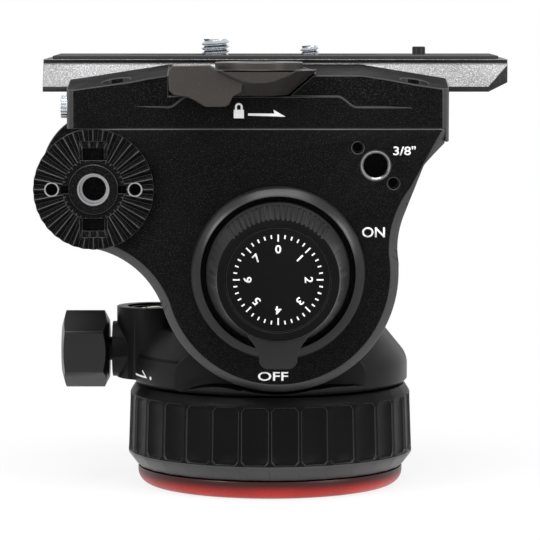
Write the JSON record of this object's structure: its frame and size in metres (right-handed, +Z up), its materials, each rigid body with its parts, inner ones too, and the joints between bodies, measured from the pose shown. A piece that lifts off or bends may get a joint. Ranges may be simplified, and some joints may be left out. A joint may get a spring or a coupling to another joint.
{
  "type": "fluid head",
  "caption": "Video fluid head on a flat base: fluted pan ring, tilting cage with arm rosettes, counterbalance dial and a dovetail clamp holding a sliding camera plate.",
  "frame": {"origin": "on the pan axis, at the bottom face of the flat base, where the tripod thread opens", "axes": "+Z up, +X towards the lens, -Y the side with the counterbalance dial"},
  "size_m": [0.1586, 0.1352, 0.1503],
  "materials": {
    "red_base": "satin red anodised",
    "black_cast": "black fine-textured coat",
    "satin_cast": "dark satin coat",
    "anodised": "dark anodised",
    "pewter": "warm grey semi-gloss coat",
    "steel": "machined",
    "spring_steel": "plain",
    "dark_steel": "black oxide",
    "zinc": "bright zinc",
    "brass": "plain",
    "inner_plastic": "plain",
    "satin_plastic": "satin black",
    "pad_rubber": "matt",
    "vial": "clear"
  },
  "bodies": {
    "base": {"flat_base": "red_base", "base_bush": "steel", "pan_spindle": "steel", "base_screws": "steel", "pan_rotor": "inner_plastic"},
    "pan_body": {"pan_housing": "satin_cast", "pan_cover": "satin_cast", "cover_screws": "steel", "pan_bearings": "steel", "pan_brake_shoe": "brass", "level_bezel": "satin_plastic", "level_vial": "vial", "tilt_axle": "steel", "tilt_rotor": "inner_plastic"},
    "pan_ring": {"pan_drag_ring": "satin_plastic"},
    "pan_lock": {"pan_lock_knob": "satin_plastic", "pan_lock_stud": "dark_steel"},
    "cage": {"near_cheek": "black_cast", "far_cheek": "black_cast", "near_rosette": "black_cast", "far_rosette": "black_cast", "rosette_bushes": "steel", "rosette_liners": "steel", "near_drum_cover": "black_cast", "far_drum_cover": "black_cast", "drum_screws": "steel", "tilt_bearings": "steel", "counterbalance_pack": "spring_steel", "dial_bezel": "satin_plastic", "port_bushes": "steel", "clamp_body": "black_cast", "clamp_screws": "dark_steel", "lever_bolt": "dark_steel"},
    "dial": {"counterbalance_dial": "satin_plastic", "dial_cap": "satin_plastic", "dial_shaft": "steel"},
    "tilt_drag": {"tilt_drag_knob": "satin_plastic", "drag_knob_cap": "satin_plastic", "tilt_drag_shaft": "steel"},
    "tilt_lock": {"tilt_lock_lever": "satin_plastic", "tilt_lock_stud": "steel"},
    "plate_lock": {"plate_lock_lever": "pewter"},
    "jaw": {"clamp_jaw": "black_cast"},
    "release": {"release_button": "zinc"},
    "plate": {"sliding_plate": "anodised", "plate_pad": "pad_rubber", "pin_plug": "dark_steel"},
    "rear_slider": {"rear_carriage": "steel"},
    "big_screw": {"big_camera_screw": "zinc"},
    "front_slider": {"front_carriage": "steel"},
    "small_screw": {"small_camera_screw": "zinc"},
    "pin": {"video_pin": "dark_steel"}
  },
  "joints": [
    {"name": "pan", "type": "hinge", "parent": "base", "child": "pan_body", "pos_m": [0, 0, 0.04], "axis": [0, 0, 1], "continuous": true},
    {"name": "pan_drag", "type": "hinge", "parent": "pan_body", "child": "pan_ring", "pos_m": [0, 0, 0.02], "axis": [0, 0, 1], "range_deg": [0, 270]},
    {"name": "pan_lock_turn", "type": "hinge", "parent": "pan_body", "child": "pan_lock", "pos_m": [-0.06, 0, 0.0453], "axis": [1, 0, 0], "range_deg": [-180, 90]},
    {"name": "tilt", "type": "hinge", "parent": "pan_body", "child": "cage", "pos_m": [0.0026, 0, 0.075], "axis": [0, 1, 0], "range_deg": [-55, 80]},
    {"name": "counterbalance_turn", "type": "hinge", "parent": "cage", "child": "dial", "pos_m": [0.0026, 0, 0.075], "axis": [0, -1, 0], "range_deg": [0, 114]},
    {"name": "tilt_drag_turn", "type": "hinge", "parent": "cage", "child": "tilt_drag", "pos_m": [0.0026, 0, 0.075], "axis": [0, 1, 0], "range_deg": [0, 270]},
    {"name": "tilt_lock_turn", "type": "hinge", "parent": "cage", "child": "tilt_lock", "pos_m": [-0.0234, 0.05, 0.099], "axis": [0, 1, 0], "range_deg": [0, 60]},
    {"name": "plate_lock_turn", "type": "hinge", "parent": "cage", "child": "plate_lock", "pos_m": [-0.0036, -0.0426, 0.138], "axis": [0, 0, 1], "range_deg": [0, 100]},
    {"name": "jaw_slide", "type": "slide", "parent": "cage", "child": "jaw", "axis": [0, 1, 0], "range_m": [0, 0.0005]},
    {"name": "release_press", "type": "slide", "parent": "cage", "child": "release", "axis": [1, 0, 0], "range_m": [0, 0.002], "stiffness_N_per_m": 500},
    {"name": "plate_slide", "type": "slide", "parent": "cage", "child": "plate", "axis": [1, 0, 0], "range_m": [-0.052, 0.052]},
    {"name": "rear_screw_slide", "type": "slide", "parent": "plate", "child": "rear_slider", "axis": [1, 0, 0], "range_m": [-0.026, 0]},
    {"name": "big_screw_turn", "type": "hinge", "parent": "rear_slider", "child": "big_screw", "pos_m": [-0.0184, 0, 0.14], "axis": [0, 0, 1], "continuous": true},
    {"name": "front_screw_slide", "type": "slide", "parent": "plate", "child": "front_slider", "axis": [1, 0, 0], "range_m": [0, 0.02]},
    {"name": "small_screw_turn", "type": "hinge", "parent": "front_slider", "child": "small_screw", "pos_m": [0.0133, 0, 0.14], "axis": [0, 0, 1], "continuous": true},
    {"name": "video_pin_press", "type": "slide", "parent": "plate", "child": "pin", "axis": [0, 0, -1], "range_m": [0, 0.0027], "stiffness_N_per_m": 500}
  ],
  "couplings": [
    {"joint": "jaw_slide", "follows": "plate_lock_turn", "m_per_rad": 0.000286}
  ]
}
